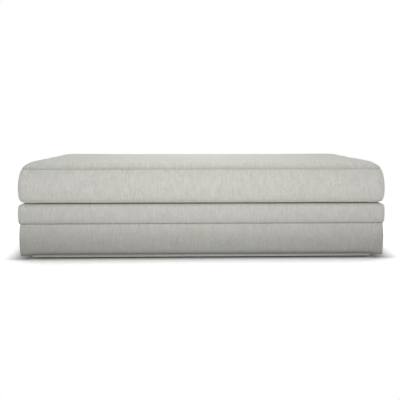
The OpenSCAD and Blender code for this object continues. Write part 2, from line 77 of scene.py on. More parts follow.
# Boxes and places that the frame gives
BASE = span(*all_sides("base_cover"))
BAND = span(*all_sides("band_cover"))
PLINTH = span(*all_sides("plinth_cloth"))
DECK = span("deck_cloth")
DUST = span("dust_cloth")
CROWN = span("top_panel")
BELLY = span("bottom_panel")
TOP_SEAM, LOW_SEAM = CROWN[0].z, BELLY[1].z
ZIP_EDGES = (span("zip_strip_lower")[1].z, span("zip_strip_upper")[0].z)
ZIP_END = span("zip_strip_lower", "zip_strip_upper")[1].x
GROUND = frame_box[0].z

# Thickness of the cloths and spacing of their points, in metres as all sizes here
CLOTH, THIN_CLOTH = 0.002, 0.0018
GRID, SHEET_GRID, PLINTH_GRID, PLINTH_STEP = 0.012, 0.02, 0.03, 0.002
NEAR_SEAM = (0.0, 0.0004, 0.0015, 0.004, 0.009, 0.018)
NEAR_EDGE = (0.0, 0.003, 0.009, 0.018)
BELOW_SEAM = (0.0022, 0.0048, 0.008, 0.013, 0.021)
INWARD_SHARES = (0.25, 0.5, 0.75, 1.0)
WELD = 0.0004

# Corners in plan, and how far in the middle of a corner's arc lies, as a share of its radius
CUSHION_CORNER, BAND_CORNER, BASE_CORNER = 0.020, 0.019, 0.014
SMALL_CORNER, SQUARE_CORNER = 0.004, 0.003
CORNER_SHARE = 1 - math.sqrt(0.5)

# The cushion: crown and belly rise from their seam over a width, the steeper the lower the power
BOXING_BULGE, BOXING_FULLNESS = 0.012, 2.6
CROWN_WIDTH, CROWN_POWER = 0.078, 0.5
BELLY_WIDTH, BELLY_POWER = 0.046, 0.45
CORNER_EASE, HALVINGS = 0.35, 18
PRESSURE, SLACK, FRAMES = 1.0, 0.004, 20
MOST_IN, MOST_OUT = 0.0008, 0.0035

# The pads of band and base; a pair is for the lower and the upper edge
BAND_PAD = {"edge_round": (0.006, 0.018), "lean": (0.003, 0.0), "widest": 0.5, "puff": 0.003}
BASE_PAD = {"edge_round": (0.0045, 0.006), "lean": (0.006, 0.002), "widest": 0.6, "puff": 0.0024}
PUFF_FULLNESS, EDGE_STEPS = 5, 6
BASE_SAG, CORNER_SAG, SAG_REACH, SAG_HEIGHT = 0.003, 0.009, 0.095, 0.03
HEM, HEM_BEND = 0.002, 0.0006

# Seams drawn in, puckers, wavering seams, uneven pads and the dip of the deck: how much, how far, what size
SEAM_PULL, SEAM_REACH, PANEL_REACH, BOXING_REACH = 0.003, 0.06, 0.006, 0.0022
CORNER_PULL, CORNER_REACH, CORNER_FADE = 0.0012, 0.003, 0.008
PUCKER, PUCKER_REACH, PUCKER_SIZE = 0.0007, 0.012, 0.022
WAVER, WAVER_REACH, WAVER_SIZE = 0.0011, 0.02, 0.11
UNEVEN, UNEVEN_REACH, UNEVEN_SIZE = 0.0006, 0.02, 0.14
DIP, DIP_REACH, DIP_SIZE = 0.0004, 0.06, 0.09

# How deep the painted shade is at the seams, the belly, the lower edges and the plinth, where 1 is a soft
# one, and how far it reaches
SEAM_SHADE_REACH, EDGE_SHADE_REACH, SHARP_SHADE_REACH = 0.009, 0.012, 0.0035
LOW_SEAM_SHADE, LOW_SEAM_SHADE_REACH, BELLY_SHADE = 0.35, 0.003, 0.4
BAND_EDGE_SHADE, BASE_EDGE_SHADE = (0.3, 0.0), (1.2, 2.4)
PLINTH_SHADE, PLINTH_SHADOW, PLINTH_END_REACH = 2.0, 0.0215, 0.005


class Plan:
    """A rectangle with rounded corners, centred on the origin."""

    def __init__(self, half_l, half_d, radius):
        self.half = (half_l, half_d)
        self.radius = radius
        self.core = (half_l - radius, half_d - radius)

    def nearest_core(self, point):
        """The nearest point of the smaller rectangle that the corners turn round."""
        x = max(-self.core[0], min(self.core[0], point.x))
        y = max(-self.core[1], min(self.core[1], point.y))
        return Vector((x, y, point.z))

    def outward(self, point):
        """The direction straight out of the outline, or none for a point inside the core."""
        return (point - self.nearest_core(point)).normalized()

    def grown(self, out):
        """The plan further out, or further in, where its corners are soon squarer, as the frame's are."""
        radius = self.radius + out if out > 0 else max(SQUARE_CORNER, self.radius + out / CORNER_SHARE)
        return Plan(self.half[0] + out, self.half[1] + out, radius)

    def carry(self, point, other, z):
        """The point of another plan that matches a point of this one's outline."""
        near = self.nearest_core(point)
        core = Vector([near[i] * other.core[i] / self.core[i] for i in (0, 1)] + [z])
        out = (point - near).normalized() * other.radius
        return Vector((core.x + out.x, core.y + out.y, z))

    def spread(self, point, other):
        """A point inside this plan, moved to its match inside another plan with the same core."""
        near = self.nearest_core(point)
        return near + (point - near) * (other.radius / self.radius)

    def rounded(self, x, y):
        """Moves a point of the square-cornered rectangle onto the round-cornered one."""
        u, v = abs(x) - self.core[0], abs(y) - self.core[1]
        if u <= 0 or v <= 0:
            return x, y
        pull = max(u, v) / math.hypot(u, v)
        return math.copysign(self.core[0] + u * pull, x), math.copysign(self.core[1] + v * pull, y)

    def side(self, point):
        """The side that a point belongs to, with the cuts on 45 degrees at the corners."""
        if self.half[1] - abs(point.y) < self.half[0] - abs(point.x):
            return "front" if point.y < 0 else "back"
        return "left" if point.x < 0 else "right"

    def from_cut(self, point):
        """How far a point lies from the 45 degree cut at its corner."""
        return abs(abs(point.x) - self.half[0] - abs(point.y) + self.half[1]) / math.sqrt(2)

    def along(self, point, side):
        """Distance along a side, which runs on round half of each corner."""
        axis = 0 if side in ("front", "back") else 1
        flat = max(-self.core[axis], min(self.core[axis], point[axis]))
        over = point[axis] - flat
        if abs(over) < TINY:
            return flat
        across = abs(point[1 - axis]) - self.core[1 - axis]
        return flat + math.copysign(self.radius * math.atan2(abs(over), max(across, TINY)), over)


def plan_of(box, radius):
    """The plan of a box of the frame, with rounded corners."""
    return Plan(box[1].x, box[1].y, radius)


def evenly(start, end, step=GRID):
    """Places after start, up to end."""
    count = max(1, round(abs(end - start) / step))
    return [start + (end - start) * (i + 1) / count for i in range(count)]


def grid_lines(half, step, near, marks=()):
    """Places from -half to half: close together at the ends, even between, and exactly on the marks."""
    end = half - near[-1]
    count = round(2 * end / step)
    places = [-half + d for d in near[:-1]]
    places += [-end + 2 * end * i / count for i in range(count + 1)]
    places += [half - d for d in reversed(near[:-1])]
    for mark in marks:
        nearest = min(range(len(places)), key=lambda i: abs(places[i] - mark))
        places[nearest] = mark
    return places


def flat_panel(plan, z, step=GRID, near=NEAR_EDGE, marks=()):
    """Quads over a plan, with its outer lines close together and its corners rounded."""
    xs, ys = grid_lines(plan.half[0], step, near, marks), grid_lines(plan.half[1], step, near)
    mesh = bmesh.new()
    bmesh.ops.create_grid(mesh, x_segments=len(xs) - 1, y_segments=len(ys) - 1, size=1)
    for v in mesh.verts:
        i = round((v.co.x + 1) / 2 * (len(xs) - 1))
        j = round((v.co.y + 1) / 2 * (len(ys) - 1))
        x, y = plan.rounded(xs[i], ys[j])
        v.co = (x, y, z)
    return mesh


def plan_loop(plan, z, step=GRID):
    """Only the outline of a plan, as a closed loop of edges."""
    mesh = flat_panel(plan, z, step)
    bmesh.ops.delete(mesh, geom=mesh.faces[:], context="FACES_KEEP_BOUNDARY")
    return mesh


def add_row(mesh, edges, place):
    """Extrudes a loop of edges once, puts the new points where place says, and gives the new loop."""
    made = bmesh.ops.extrude_edge_only(mesh, edges=edges)["geom"]
    points = {g for g in made if isinstance(g, bmesh.types.BMVert)}
    for point in points:
        point.co = place(point.co)
    edges = [g for g in made if isinstance(g, bmesh.types.BMEdge)]
    return [e for e in edges if e.verts[0] in points and e.verts[1] in points]


def grow_wall(mesh, edges, plan, rows, start=0.0):
    """Adds rows of (out, z) to a loop that stands out from the plan by start."""
    was = plan.grown(start)
    for out, z in rows:
        now = plan.grown(out)
        edges = add_row(mesh, edges, lambda co: was.carry(co, now, z))
        was = now
    return edges


def draw_in(mesh, edges, half, shares):
    """Adds rows that run in towards a smaller rectangle, at one height."""
    widest = [max(abs(v.co[i]) for e in edges for v in e.verts) for i in (0, 1)]
    was = widest
    for share in shares:
        now = [wide + (narrow - wide) * share for wide, narrow in zip(widest, half)]
        x, y = now[0] / was[0], now[1] / was[1]
        edges = add_row(mesh, edges, lambda co: Vector((co.x * x, co.y * y, co.z)))
        was = now


def as_piece(mesh, name):
    """A bmesh as an object at the origin, smooth shaded."""
    data = bpy.data.meshes.new(name)
    mesh.to_mesh(data)
    mesh.free()
    data.polygons.foreach_set("use_smooth", [True] * len(data.polygons))
    piece = bpy.data.objects.new(name, data)
    bpy.context.scene.collection.objects.link(piece)
    return piece


# How far apart two seeds lie in the noise
SEED_STEP = (7.3, 3.1, 5.7)


def soft_noise(point, size, seed):
    """Smooth noise from about -1 to 1, with features of that size."""
    return noise.noise(Vector(point) / size + Vector([seed * step for step in SEED_STEP]))


def lay_cloth_on(mesh, where):
    """Writes the cloth's own coordinates: across and along the streaks."""
    layer = mesh.loops.layers.uv.new("cloth")
    for face in mesh.faces:
        for loop in face.loops:
            loop[layer].uv = where(loop.vert.co, face)


def shade_creases(mesh, shade_level):
    """Writes how much painted shade each point gets, for the cloth's colour to darken by."""
    layer = mesh.verts.layers.float.new("painted_shade")
    for v in mesh.verts:
        v[layer] = shade_level(v.co)


def add_simulation(piece):
    """The cloth simulation of a cover that is blown out, with no gravity."""
    cloth = piece.modifiers.new("cloth", "CLOTH")
    cloth.settings.quality = 5
    cloth.settings.mass = 0.3
    cloth.settings.tension_stiffness = 20
    cloth.settings.compression_stiffness = 20
    cloth.settings.shear_stiffness = 8
    cloth.settings.bending_stiffness = 1.5
    cloth.settings.vertex_group_mass = "held"
    cloth.settings.use_pressure = True
    cloth.settings.uniform_pressure_force = PRESSURE
    cloth.settings.shrink_min = -SLACK
    cloth.settings.effector_weights.gravity = 0
    cloth.collision_settings.use_collision = False
    return cloth


def swell(piece, held):
    """Blows the cloth out with its held points pinned, then keeps each point close to its start."""
    scene = bpy.context.scene
    start = [v.co.copy() for v in piece.data.vertices]
    normals = [v.normal.copy() for v in piece.data.vertices]
    group = piece.vertex_groups.new(name="held")
    group.add(held, 1.0, "REPLACE")
    cloth = add_simulation(piece)
    for step in range(1, FRAMES + 1):
        scene.frame_set(step)
    result = piece.evaluated_get(bpy.context.evaluated_depsgraph_get()).data
    moved = [v.co.copy() for v in result.vertices]
    piece.modifiers.remove(cloth)
    piece.vertex_groups.clear()
    scene.frame_set(1)
    for v, was, now, normal in zip(piece.data.vertices, start, moved, normals):
        travel = now - was
        out = travel.dot(normal)
        limited = max(-MOST_IN, min(MOST_OUT, out))
        v.co = was + travel * (abs(limited / out) if abs(out) > TINY else 1.0)
    piece.data.update()


# The cushion's shell: one sheet of quads that is swollen whole and then cut into its panels
CUSHION_PLAN = plan_of(CROWN, CUSHION_CORNER)
LOW_OUT = BELLY[1].x - CROWN[1].x
LOW_PLAN = CUSHION_PLAN.grown(LOW_OUT)
TOP, BOTTOM, FRONT, LEFT, RIGHT, STRIP_UPPER, STRIP_LOWER, SLOT = range(8)
CUSHION_PIECES = (
    (TOP, "cushion_top", "top_panel"),
    (BOTTOM, "cushion_bottom", "bottom_panel"),
    (FRONT, "cushion_boxing_front", "boxing_front"),
    (LEFT, "cushion_boxing_left", "boxing_left"),
    (RIGHT, "cushion_boxing_right", "boxing_right"),
    (STRIP_UPPER, "cushion_zip_strip_upper", "zip_strip_upper"),
    (STRIP_LOWER, "cushion_zip_strip_lower", "zip_strip_lower"),
)

# Each side has its own stretch of cloth, so far apart that no streak comes back on another side
CLOTH_STEP = 10
BOXING_ORDER = ("front", "right", "back", "left")


def inset_on_rings(point, plan, widest):
    """How far in from the seam the ring lies that passes through a point, as on the frame's crown."""
    low, high = 0.0, widest
    for _ in range(HALVINGS):
        middle = (low + high) / 2
        radius = plan.radius + CORNER_EASE * middle
        u = abs(point.x) - (plan.half[0] - middle - radius)
        v = abs(point.y) - (plan.half[1] - middle - radius)
        outside = math.hypot(max(u, 0), max(v, 0)) + min(max(u, v), 0) - radius
        if outside < 0:
            low = middle
        else:
            high = middle
    return (low + high) / 2


def crown(point, plan, width, rise, power):
    """Height of a crowned panel above its seam."""
    t = 1 - inset_on_rings(point, plan, width) / width
    return rise * max(0.0, 1 - t * t) ** power


def boxing_out(z):
    """How far the boxing stands out of the top seam's line at a height: it bulges, and leans out below."""
    half = (TOP_SEAM - LOW_SEAM) / 2
    share = max(-1.0, min(1.0, (z - LOW_SEAM) / half - 1))
    return BOXING_BULGE * (1 - abs(share) ** BOXING_FULLNESS) + LOW_OUT * (1 - share) / 2


def boxing_rows():
    """Heights of the boxing's rows, close together at the seams, with a row on each edge of the zip."""
    upper = [TOP_SEAM - d for d in BELOW_SEAM]
    upper += evenly(upper[-1], ZIP_EDGES[1])
    return upper + [sum(ZIP_EDGES) - z for z in reversed(upper)] + [LOW_SEAM]


def boxing_panel(point):
    """Which piece of the boxing a point belongs to."""
    side = CUSHION_PLAN.side(point)
    if side == "back":
        if abs(point.x) > ZIP_END:
            return LEFT if point.x < 0 else RIGHT
        if point.z > ZIP_EDGES[1]:
            return STRIP_UPPER
        return STRIP_LOWER if point.z < ZIP_EDGES[0] else SLOT
    return {"front": FRONT, "left": LEFT, "right": RIGHT}[side]


def cushion_shell():
    """The whole cover of the cushion as quads, each marked with its panel."""
    mesh = flat_panel(CUSHION_PLAN, 0, near=NEAR_SEAM, marks=(-ZIP_END, ZIP_END))
    for face in mesh.faces:
        face.material_index = TOP
    under = bmesh.ops.duplicate(mesh, geom=mesh.verts[:] + mesh.edges[:] + mesh.faces[:])["geom"]
    under_points = {g for g in under if isinstance(g, bmesh.types.BMVert)}
    under_faces = [g for g in under if isinstance(g, bmesh.types.BMFace)]
    for v in mesh.verts:
        if v in under_points:
            v.co = CUSHION_PLAN.spread(v.co, LOW_PLAN)
            v.co.z = LOW_SEAM - crown(v.co, LOW_PLAN, BELLY_WIDTH, LOW_SEAM - BELLY[0].z, BELLY_POWER)
        else:
            v.co.z = TOP_SEAM + crown(v.co, CUSHION_PLAN, CROWN_WIDTH, CROWN[1].z - TOP_SEAM, CROWN_POWER)
    for face in under_faces:
        face.material_index = BOTTOM
    bmesh.ops.reverse_faces(mesh, faces=under_faces)
    edges = [e for e in mesh.edges if e.is_boundary and e.verts[0] not in under_points]
    before = set(mesh.faces)
    grow_wall(mesh, edges, CUSHION_PLAN, [(boxing_out(z), z) for z in boxing_rows()])
    walls = [face for face in mesh.faces if face not in before]
    bmesh.ops.remove_doubles(mesh, verts=mesh.verts[:], dist=WELD)
    for face in walls:
        if face.is_valid:
            face.material_index = boxing_panel(face.calc_center_median())
    bmesh.ops.recalc_face_normals(mesh, faces=mesh.faces[:])
    return mesh


def cushion_cloth(co, face):
    """Streaks run front to back on the panels and upright on the boxing."""
    if face.material_index in (TOP, BOTTOM):
        return co.x, co.y
    side = CUSHION_PLAN.side(face.calc_center_median())
    return CUSHION_PLAN.along(co, side) + CLOTH_STEP * BOXING_ORDER.index(side), co.z


def cushion_painted_shade(co):
    """Painted shade lies just above the top seam, along the low seam, and over the belly below it."""
    over, under = co.z - TOP_SEAM, LOW_SEAM - co.z
    if over > 0:
        return math.exp(-((over / SEAM_SHADE_REACH) ** 2))
    if under > 0:
        return BELLY_SHADE + (LOW_SEAM_SHADE - BELLY_SHADE) * math.exp(-under / SEAM_SHADE_REACH)
    return LOW_SEAM_SHADE * math.exp(-((under / LOW_SEAM_SHADE_REACH) ** 2))


def draw_seams(mesh):
    """Draws the cushion's seams in, softly at first and sharply at the stitches, and lets them waver."""
    mesh.normal_update()
    for v in mesh.verts:
        seam, plan = (TOP_SEAM, CUSHION_PLAN) if v.co.z > ZIP_EDGES[1] else (LOW_SEAM, LOW_PLAN)
        flat = Vector((v.co.x, v.co.y, seam))
        inset = plan.radius - (flat - plan.nearest_core(flat)).length
        from_seam = math.hypot(max(inset, 0.0), v.co.z - seam)
        if from_seam > SEAM_REACH:
            continue
        reach = BOXING_REACH if LOW_SEAM < v.co.z < TOP_SEAM else PANEL_REACH
        pull = SEAM_PULL * math.exp(-from_seam / reach)
        if abs(v.co.x) > plan.core[0] and abs(v.co.y) > plan.core[1]:
            pull = max(pull, CORNER_PULL * math.exp(-plan.from_cut(v.co) / CORNER_REACH))
        pucker = PUCKER * math.exp(-from_seam / PUCKER_REACH) * soft_noise(flat, PUCKER_SIZE, seed=2)
        waver = WAVER * math.exp(-from_seam / WAVER_REACH) * soft_noise(flat, WAVER_SIZE, seed=1)
        v.co += v.normal * (pucker - pull) + UP * waver


def cut_out(shell, panel, name):
    """One panel of a shell as a piece of its own."""
    mesh = bmesh.new()
    mesh.from_mesh(shell.data)
    others = [face for face in mesh.faces if face.material_index != panel]
    bmesh.ops.delete(mesh, geom=others, context="FACES")
    for face in mesh.faces:
        face.material_index = 0
    return as_piece(mesh, name)


def sewn(piece, thickness):
    """Gives a panel the thickness of its cloth and a fine soft surface."""
    smooth = piece.modifiers.new("smooth", "SUBSURF")
    smooth.levels = smooth.render_levels = 1
    solid = piece.modifiers.new("thickness", "SOLIDIFY")
    solid.thickness = thickness
    solid.offset = -1
    return piece


def finish_piece(piece, material, body, node):
    """Colours a piece, puts it on its body and hides the node that it stands for."""
    piece.data.materials.clear()
    piece.data.materials.append(material)
    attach(piece, body)
    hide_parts(node)


def cut_up(shell, pieces, cloth, body, thickness=CLOTH):
    """Cuts a shell into sewn pieces, each given as its panel, its name and the node that it stands for."""
    for panel, name, node in pieces:
        piece = sewn(cut_out(shell, panel, name), thickness)
        finish_piece(piece, cloth, body, node)
    bpy.data.objects.remove(shell)


def make_cushion(cloth):
    """The cushion's cover, whose lowest points rest on the deck."""
    mesh = cushion_shell()
    lay_cloth_on(mesh, cushion_cloth)
    shade_creases(mesh, cushion_painted_shade)
    on_seams = [v.index for v in mesh.verts if len({face.material_index for face in v.link_faces}) > 1]
    draw_seams(mesh)
    shell = as_piece(mesh, "cushion_shell")
    swell(shell, on_seams)
    for v in shell.data.vertices:
        v.co.z = max(v.co.z, BELLY[0].z)
    cut_up(shell, CUSHION_PIECES, cloth, "seat_cushion")


def padded_rows(low, high, edge_round, lean, widest, puff):
    """(out, z) rows up a padded side, which leans in above and below its widest height, to rounded edges."""
    middle = low + (high - low) * widest
    low_bend, high_bend = low + edge_round[0], high - edge_round[1]
    turns = [math.pi / 2 * i / EDGE_STEPS for i in range(EDGE_STEPS + 1)]
    heights = [low + edge_round[0] * (1 - math.cos(turn)) for turn in turns]
    heights += evenly(low_bend, high_bend)[:-1]
    heights += [high - edge_round[1] * (1 - math.sin(turn)) for turn in turns]
    rows = []
    for z in heights:
        if z < middle:
            drawn_in = lean[0] * ((middle - z) / (middle - low)) ** 2
        else:
            drawn_in = lean[1] * ((z - middle) / (high - middle)) ** 2
        for radius, into in zip(edge_round, (low_bend - z, z - high_bend)):
            if into > 0:
                drawn_in += radius - math.sqrt(max(0.0, radius * radius - into * into))
        share = abs(2 * (z - low) / (high - low) - 1)
        rows.append((puff * (1 - share ** PUFF_FULLNESS) - drawn_in, z))
    return rows


def side_shell(plan, rows, inner=None, step=GRID):
    """A wall round the plan with rows of (out, z), whose last row may run in to an inner rectangle."""
    start, z = rows[0]
    mesh = plan_loop(plan, z, step)
    edges = mesh.edges[:]
    first = plan.grown(start)
    for v in mesh.verts:
        v.co = plan.carry(v.co, first, z)
    edges = grow_wall(mesh, edges, plan, rows[1:], start)
    if inner:
        draw_in(mesh, edges, (inner.x, inner.y), INWARD_SHARES)
    for face in mesh.faces:
        face.material_index = SIDES.index(plan.side(face.calc_center_median()))
    bmesh.ops.recalc_face_normals(mesh, faces=mesh.faces[:])
    outer = max(mesh.faces, key=lambda f: f.calc_center_median().x)
    if outer.normal.x < 0:
        bmesh.ops.reverse_faces(mesh, faces=mesh.faces[:])
    return mesh


def side_cloth(plan):
    """Cloth coordinates on a side wall: along the side, and up the wall and over its edges."""
    def where(co, face):
        side = SIDES[face.material_index]
        across = 1 if side in ("front", "back") else 0
        over = plan.half[across] - abs(co[across])
        return plan.along(co, side) + CLOTH_STEP * face.material_index, co.z + max(over, 0)
    return where


def side_pieces(name, node):
    """The four pieces of a side wall: panel, name and node."""
    return list(zip(range(len(SIDES)), all_sides(name), all_sides(node)))


def edge_painted_shade(height, soft, sharp):
    """Painted shade at a lower edge, with a wide soft part and a narrow sharp one."""
    return soft * math.exp(-height / EDGE_SHADE_REACH) + sharp * math.exp(-height / SHARP_SHADE_REACH)


def corner_hang(plan, co, low, sag):
    """How far a cover hangs down at a point, near its lower corners."""
    to_corner = math.hypot(plan.half[0] - abs(co.x), plan.half[1] - abs(co.y))
    near = max(0.0, 1 - to_corner / SAG_REACH)
    return sag * near * near * (3 - 2 * near) * math.exp((low - co.z) / SAG_HEIGHT)


def pad_out(plan, co, low, high):
    """How far a pad stands out at a point: a bit uneven, puckered at its seams, drawn in at its corners."""
    from_seam = min(co.z - low, high - co.z)
    uneven = UNEVEN * soft_noise(co, UNEVEN_SIZE, seed=6) * min(1.0, from_seam / UNEVEN_REACH)
    pucker = PUCKER * math.exp(-from_seam / PUCKER_REACH) * soft_noise(co, PUCKER_SIZE, seed=7)
    outside = (co - plan.nearest_core(co)).length
    pull = CORNER_PULL * math.exp(-plan.from_cut(co) / CORNER_REACH) * min(1.0, outside / CORNER_FADE)
    return uneven + pucker - pull


def make_sides(name, plan, rows, inner, cloth, painted_shade, sag=0.0):
    """Four padded panels round the base, cut at the corners."""
    mesh = side_shell(plan, rows, inner)
    lay_cloth_on(mesh, side_cloth(plan))
    low, high = min(z for _, z in rows), max(z for _, z in rows)
    # Painted shade along the lower edge of the cover, darkening its colour
    shade_creases(mesh, lambda co: edge_painted_shade(co.z - low, *painted_shade))
    for v in mesh.verts:
        hang = corner_hang(plan, v.co, low, sag)
        v.co += plan.outward(v.co) * pad_out(plan, v.co, low, high) - UP * hang
    shell = as_piece(mesh, f"{name}_shell")
    cut_up(shell, side_pieces(name, f"{name}_cover"), cloth, "base")


def make_band(cloth):
    """The band, whose flaps run in over the frame to the deck."""
    rows = padded_rows(BAND[0].z, BAND[1].z, **BAND_PAD)
    make_sides("band", plan_of(BAND, BAND_CORNER), rows, DECK[1], cloth, BAND_EDGE_SHADE)


def make_base(cloth):
    """The base's cover, which runs in underneath to the plinth."""
    rows = padded_rows(BASE[0].z - BASE_SAG, BASE[1].z, **BASE_PAD)
    make_sides("base", plan_of(BASE, BASE_CORNER), rows[::-1], PLINTH[1], cloth, BASE_EDGE_SHADE, CORNER_SAG)


def plinth_painted_shade(co, plan):
    """Painted shade up under the base's overhang, and at the upright corners."""
    from_corner = plan.half[0] - abs(co.x) + plan.half[1] - abs(co.y)
    overhung = math.exp((co.z - PLINTH_SHADOW) / SHARP_SHADE_REACH)
    return PLINTH_SHADE * min(1.0, overhung + math.exp(-from_corner / PLINTH_END_REACH))


def make_plinth_cloth(cloth):
    """The plinth's cloth, with a small bend to its hem."""
    plan = plan_of(PLINTH, SMALL_CORNER)
    low, top = PLINTH[0].z, PLINTH[1].z
    rows = [(0.0, z) for z in [top] + evenly(top, low + HEM, PLINTH_STEP)]
    rows += [(-HEM_BEND, low + HEM_BEND), (-HEM, low)]
    mesh = side_shell(plan, rows, step=PLINTH_GRID)
    lay_cloth_on(mesh, side_cloth(plan))
    # Painted shade on the plinth's cloth, under the overhang and at its corners
    shade_creases(mesh, lambda co: plinth_painted_shade(co, plan))
    shell = as_piece(mesh, "plinth_shell")
    cut_up(shell, side_pieces("plinth_wrap", "plinth_cloth"), cloth, "base", THIN_CLOTH)


def make_deck(lining):
    """The deck's lining, stretched on its foam."""
    plan = plan_of(DECK, SMALL_CORNER)
    mesh = flat_panel(plan, DECK[1].z, SHEET_GRID)
    for v in mesh.verts:
        from_edge = min(plan.half[0] - abs(v.co.x), plan.half[1] - abs(v.co.y))
        v.co.z += min(1.0, from_edge / DIP_REACH) * DIP * (soft_noise(v.co, DIP_SIZE, seed=4) - 1)
    lay_cloth_on(mesh, lambda co, face: (co.x, co.y))
    deck = sewn(as_piece(mesh, "deck_lining"), THIN_CLOTH)
    finish_piece(deck, lining, "base", "deck_cloth")
    2 * plan.half[0]
    2 * plan.half[1]


def make_dust_cloth(black):
    """The dust cloth under the frame, stretched on the plinth's blocks."""
    plan = plan_of(DUST, SMALL_CORNER)
    mesh = flat_panel(plan, DUST[1].z, SHEET_GRID)
    lay_cloth_on(mesh, lambda co, face: (co.x, co.y))
    dust = sewn(as_piece(mesh, "dust_cover"), DUST[1].z - DUST[0].z)
    finish_piece(dust, black, "base", "dust_cloth")
    2 * plan.half[0]
    2 * plan.half[1]


class Wire:
    """A socket's output that Python's arithmetic works on: each sum adds a Math node."""

    def __init__(self, graph, socket):
        self.graph, self.socket = graph, socket

    def __add__(self, other):
        return self.graph.maths("ADD", self, other)

    def __sub__(self, other):
        return self.graph.maths("SUBTRACT", self, other)

    def __rsub__(self, other):
        return self.graph.maths("SUBTRACT", other, self)

    def __mul__(self, other):
        return self.graph.maths("MULTIPLY", self, other)

    def __truediv__(self, other):
        return self.graph.maths("DIVIDE", self, other)

    def __abs__(self):
        return self.graph.maths("ABSOLUTE", self)


# Sockets of a Mix node that mixes colours, which share their names with others
MIX_SHARE, MIX_A, MIX_B, MIX_RESULT = 0, 6, 7, 2


class Graph:
    """A node tree that is built by short calls."""

    def __init__(self, tree):
        self.nodes, self.links = tree.nodes, tree.links

    def feed(self, socket, value):
        """Links a wire to a socket, or sets the socket's value."""
        if isinstance(value, Wire):
            self.links.new(value.socket, socket)
        else:
            socket.default_value = value

    def node(self, kind, inputs=None, output=0, **settings):
        """Adds a node: its settings first, then the values or wires of its sockets."""
        made = self.nodes.new("ShaderNode" + kind)
        for key, value in settings.items():
            setattr(made, key, value)
        for key, value in (inputs or {}).items():
            self.feed(made.inputs[key], value)
        return Wire(self, made.outputs[output])

    def maths(self, operation, *values):
        return self.node("Math", dict(enumerate(values)), operation=operation)

    def apart(self, place):
        """The first two coordinates of a place, as two wires."""
        first = self.node("SeparateXYZ", {0: place})
        return first, Wire(self, first.socket.node.outputs[1])

    def noise(self, place, scale, detail=2.0, roughness=0.5):
        inputs = {"Vector": place, "Scale": scale, "Detail": detail, "Roughness": roughness}
        return self.node("TexNoise", inputs)

    def flecks(self, x, y, seed=0.0, detail=1.0):
        """Noise over two wires, whose features are about 1 in size."""
        return self.noise(self.node("CombineXYZ", {0: x, 1: y, 2: seed}), 1.0, detail)

    def weave(self, x, y, radians):
        """Ups and downs over two wires, which turn by so many radians a metre."""
        return self.maths("SINE", x * radians) * self.maths("SINE", y * radians)

    def mix(self, share, a, b):
        inputs = {MIX_SHARE: share, MIX_A: a, MIX_B: b}
        return self.node("Mix", inputs, MIX_RESULT, data_type="RGBA")

    def between(self, value, low, high, at_low=0.0, at_high=1.0, kind="SMOOTHSTEP"):
        """Goes from one level to another while a value goes from low to high."""
        inputs = {"Value": value, "From Min": low, "From Max": high, "To Min": at_low, "To Max": at_high}
        return self.node("MapRange", inputs, interpolation_type=kind)

    def seen_directly(self):
        """1 for what the camera, a mirror or glass sees, and 0 for light that bounces."""
        path = self.nodes.new("ShaderNodeLightPath")
        camera, mirror, glass = [
            Wire(self, path.outputs[f"Is {ray} Ray"]) for ray in ("Camera", "Glossy", "Transmission")
        ]
        return self.maths("MAXIMUM", camera, self.maths("MAXIMUM", mirror, glass))


# The levels between which most of a noise lies, and its middle
NOISE_RANGE, NOISE_MIDDLE = (0.3, 0.7), 0.5


class Finish(Graph):
    """A material and its nodes."""

    def __init__(self, name, **constants):
        self.material = bpy.data.materials.new(name)
        self.material.use_nodes = True
        super().__init__(self.material.node_tree)
        self.shader = self.nodes["Principled BSDF"]
        for socket, value in constants.items():
            self.shader.inputs[socket.replace("_", " ")].default_value = value

    def cloth_place(self):
        """Across and along the cloth, as two wires."""
        return self.apart(self.node("UVMap", uv_map="cloth"))

    def object_place(self):
        return self.node("TexCoord", output="Object")

    def colour(self, wire):
        self.feed(self.shader.inputs["Base Color"], wire)

    def tint(self, wire, low, high, values=NOISE_RANGE):
        """Colours the material from one colour to another over a range of the wire's values."""
        self.colour(self.mix(self.between(wire, *values), low, high))

    def rough(self, wire, at_low, at_high):
        """Lets the roughness go from one level to another with a noise."""
        self.feed(self.shader.inputs["Roughness"], self.between(wire, *NOISE_RANGE, at_low, at_high))

    def bump(self, height, distance, strength):
        inputs = {"Height": height, "Distance": distance, "Strength": strength}
        self.feed(self.shader.inputs["Normal"], self.node("Bump", inputs))


def rgb(r, g, b):
    """An sRGB colour, 0 to 255, as Blender's linear one."""
    return tuple(((c / 255 + 0.055) / 1.055) ** 2.4 for c in (r, g, b)) + (1.0,)


# The upholstery: a thread's width, how long thick places run, and patches by their size across and along
THREAD, WARP_SLUB, WEFT_SLUB = 0.0017, 0.016, 0.02
GROUP, PATCH, CLUSTER = (0.007, 0.06), (0.035, 0.05), (0.10, 0.07)

# How far apart in the noise two threads lie, and where the noise of each kind is taken
THREAD_STEP = 3.7
WEFT_SEED, GROUP_SEED, PATCH_SEED, CLUSTER_SEED = 5.0, 4.0, 9.0, 14.0

# How much each of them changes the cloth's tone or height, a thread's mean height, and the share and colour
# of the painted shade
WARP_TONE, WARP_ON_TOP_TONE, WEFT_TONE = 0.9, 0.7, 0.5
GROUP_TONE, PATCH_TONE, THREAD_TONE, THREAD_MIDDLE, STREAK_HEIGHT = 0.55, 0.4, 0.25, 0.7, 0.4
CLUSTER_RANGE, CLUSTER_TONES, TONE_RANGE = (0.35, 0.65), (0.5, 1.3), (-0.8, 0.8)
CREASE_SHADE, PAINTED_SHADE_COLOUR = 0.22, rgb(60, 58, 54)

